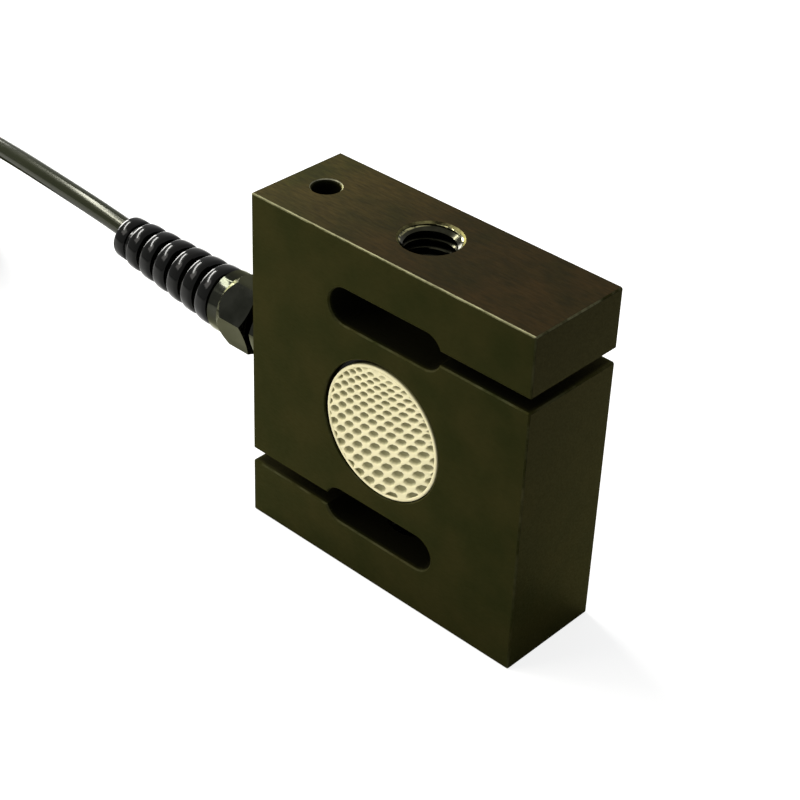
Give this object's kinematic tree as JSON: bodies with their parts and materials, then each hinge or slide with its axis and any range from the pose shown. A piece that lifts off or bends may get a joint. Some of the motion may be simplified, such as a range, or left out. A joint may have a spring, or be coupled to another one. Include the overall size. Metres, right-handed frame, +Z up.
{
  "type": "compression load cell",
  "caption": "S-beam load cell for tension and compression: a blackened steel block with sawn slots, pitted round covers, central threads, and a gland with a ribbed relief and cable.",
  "frame": {"origin": "centre of the block's bottom face, which it stands on; the block is measured without the gland and cable", "axes": "+Z up along the load axis, X across the wide face with the cable leaving at -X, and -Y the face with the front cover"},
  "size_m": [0.2975, 0.049, 0.075],
  "materials": {
    "blackened_steel": "milled and ground alloy steel, blackened, low sheen",
    "cover_cream": "cream, satin, pressed with slanting rows of pits",
    "gauge_foil": "amber film with fine metal grids",
    "board_green": "green solder mask with tinned pads",
    "resistor_blue": "lacquered",
    "fine_copper": "tinned copper",
    "core_red": "smooth insulation",
    "core_green": "smooth insulation",
    "core_white": "smooth insulation",
    "core_black": "smooth insulation",
    "potting_resin": "cast resin",
    "washer_rubber": "plain black",
    "gland_nickel": "bright nickel plating",
    "claw_nylon": "moulded",
    "relief_rubber": "glossy black",
    "cable_jacket": "smooth dark jacket with a soft gloss",
    "tie_nylon": "flat woven-look band",
    "sleeve_black": "shrunk sleeve"
  },
  "bodies": {
    "root": {"spring_element": "blackened_steel", "front_cover": "cover_cream", "rear_cover": "cover_cream", "front_shear_gauge": "gauge_foil", "rear_shear_gauge": "gauge_foil", "terminal_board": "board_green", "span_resistor": "resistor_blue", "zero_resistor": "resistor_blue", "front_gauge_lead_low": "fine_copper", "front_gauge_lead_middle": "fine_copper", "front_gauge_lead_high": "fine_copper", "rear_gauge_lead_low": "fine_copper", "rear_gauge_lead_middle": "fine_copper", "rear_gauge_lead_high": "fine_copper", "lead_red": "core_red", "lead_green": "core_green", "lead_white": "core_white", "lead_black": "core_black", "front_potting": "potting_resin", "rear_potting": "potting_resin", "gland_washer": "washer_rubber", "gland_body": "gland_nickel", "gland_seal": "washer_rubber", "gland_claw": "claw_nylon", "gland_nut": "gland_nickel", "bend_relief": "relief_rubber", "cable_entry": "cable_jacket", "cable": "cable_jacket", "cable_hank": "cable_jacket", "cable_tail": "cable_jacket", "hank_tie": "tie_nylon", "end_sleeve": "sleeve_black", "tail_red": "core_red", "tail_green": "core_green", "tail_white": "core_white", "tail_black": "core_black", "tail_shield": "fine_copper"}
  },
  "joints": []
}
